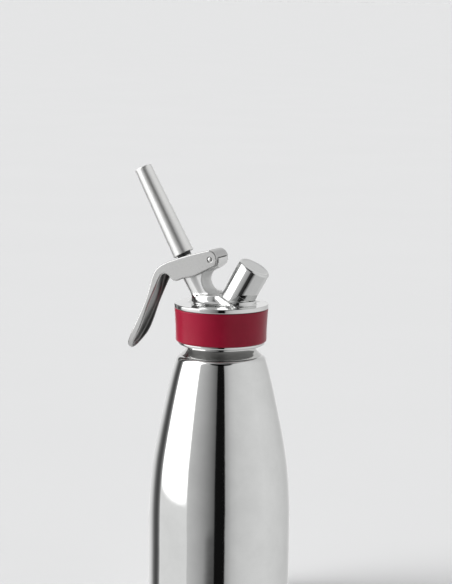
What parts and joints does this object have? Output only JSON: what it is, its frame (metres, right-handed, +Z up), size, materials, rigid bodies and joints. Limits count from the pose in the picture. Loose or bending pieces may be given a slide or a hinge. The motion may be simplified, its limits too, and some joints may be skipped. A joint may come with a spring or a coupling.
{
  "type": "whipped cream dispenser",
  "caption": "Steel bottle with a screwed head, squeeze lever, sprung valve, tapered nozzle and capped gas inlet, for dispensing whipped cream.",
  "frame": {"origin": "centre of the flat base, on the bottle's axis", "axes": "+Z up along the bottle's axis; the lever and nozzle lean to -X and the gas inlet to +X, all in the plane Y = 0"},
  "size_m": [0.1292, 0.1056, 0.3295],
  "materials": {
    "steel_polished": "mirror polished stainless steel",
    "steel_satin": "satin stainless steel",
    "steel_machined": "turned stainless steel",
    "spring_steel": "drawn spring wire",
    "silicone_crimson": "satin crimson silicone",
    "silicone_clear": "milky silicone",
    "rubber_black": "black rubber"
  },
  "bodies": {
    "bottle": {"bottle_shell": "steel_polished", "neck_ring": "steel_machined"},
    "gasket": {"head_gasket": "silicone_clear"},
    "head": {"head_casting": "steel_polished", "head_collar": "steel_polished", "inlet_nipple": "steel_machined", "grip_band": "silicone_crimson", "guide_bush": "steel_machined", "valve_spring": "spring_steel", "charger_seal": "rubber_black", "piercing_pin": "steel_machined", "check_spring": "spring_steel", "inlet_retainer": "steel_machined", "pivot_pin": "steel_machined"},
    "lever": {"lever": "steel_satin"},
    "valve": {"valve_stem": "steel_machined", "stem_oring": "rubber_black", "valve_seal": "rubber_black", "spring_cup": "steel_machined", "nozzle_adapter": "steel_machined"},
    "nozzle_ring": {"nozzle_seal": "rubber_black"},
    "nozzle": {"nozzle": "steel_satin"},
    "cap_ring": {"cap_seal": "silicone_clear"},
    "cap": {"inlet_cap": "steel_polished"},
    "ball": {"check_ball": "steel_machined"}
  },
  "joints": [
    {"name": "head_lift", "type": "slide", "parent": "bottle", "child": "gasket", "axis": [0, 0, 1], "range_m": [0, 0.00901]},
    {"name": "head_turn", "type": "hinge", "parent": "gasket", "child": "head", "pos_m": [0, 0, 0.209], "axis": [0, 0, 1], "range_deg": [0, 810]},
    {"name": "lever_pivot", "type": "hinge", "parent": "head", "child": "lever", "pos_m": [-0.0053, 0, 0.262], "axis": [0, -1, 0], "range_deg": [0, 10]},
    {"name": "valve_stroke", "type": "slide", "parent": "head", "child": "valve", "axis": [0.4787, 0, -0.878], "range_m": [0, 0.004], "stiffness_N_per_m": 1500, "springref_m": -0.004, "deforming": ["valve_spring"]},
    {"name": "nozzle_lift", "type": "slide", "parent": "valve", "child": "nozzle_ring", "axis": [-0.4787, 0, 0.878], "range_m": [0, 0.0075]},
    {"name": "nozzle_turn", "type": "hinge", "parent": "nozzle_ring", "child": "nozzle", "pos_m": [-0.03298, 0, 0.26675], "axis": [-0.4787, 0, 0.878], "range_deg": [0, 2160.5]},
    {"name": "cap_lift", "type": "slide", "parent": "head", "child": "cap_ring", "axis": [0.497, 0, 0.8678], "range_m": [0, 0.0135]},
    {"name": "cap_turn", "type": "hinge", "parent": "cap_ring", "child": "cap", "pos_m": [0.02123, 0, 0.24809], "axis": [0.497, 0, 0.8678], "range_deg": [0, 3240.5]},
    {"name": "ball_travel", "type": "slide", "parent": "head", "child": "ball", "axis": [-0.497, 0, -0.8678], "range_m": [0, 0.001], "stiffness_N_per_m": 100, "springref_m": -0.0005, "deforming": ["check_spring"]}
  ],
  "couplings": [
    {"joint": "head_lift", "follows": "head_turn", "m_per_rad": 0.00063662},
    {"joint": "lever_pivot", "follows": "valve_stroke", "rad_per_m": 43.63},
    {"joint": "nozzle_turn", "follows": "nozzle_lift", "rad_per_m": 5026.5},
    {"joint": "cap_turn", "follows": "cap_lift", "rad_per_m": 4188.8}
  ]
}
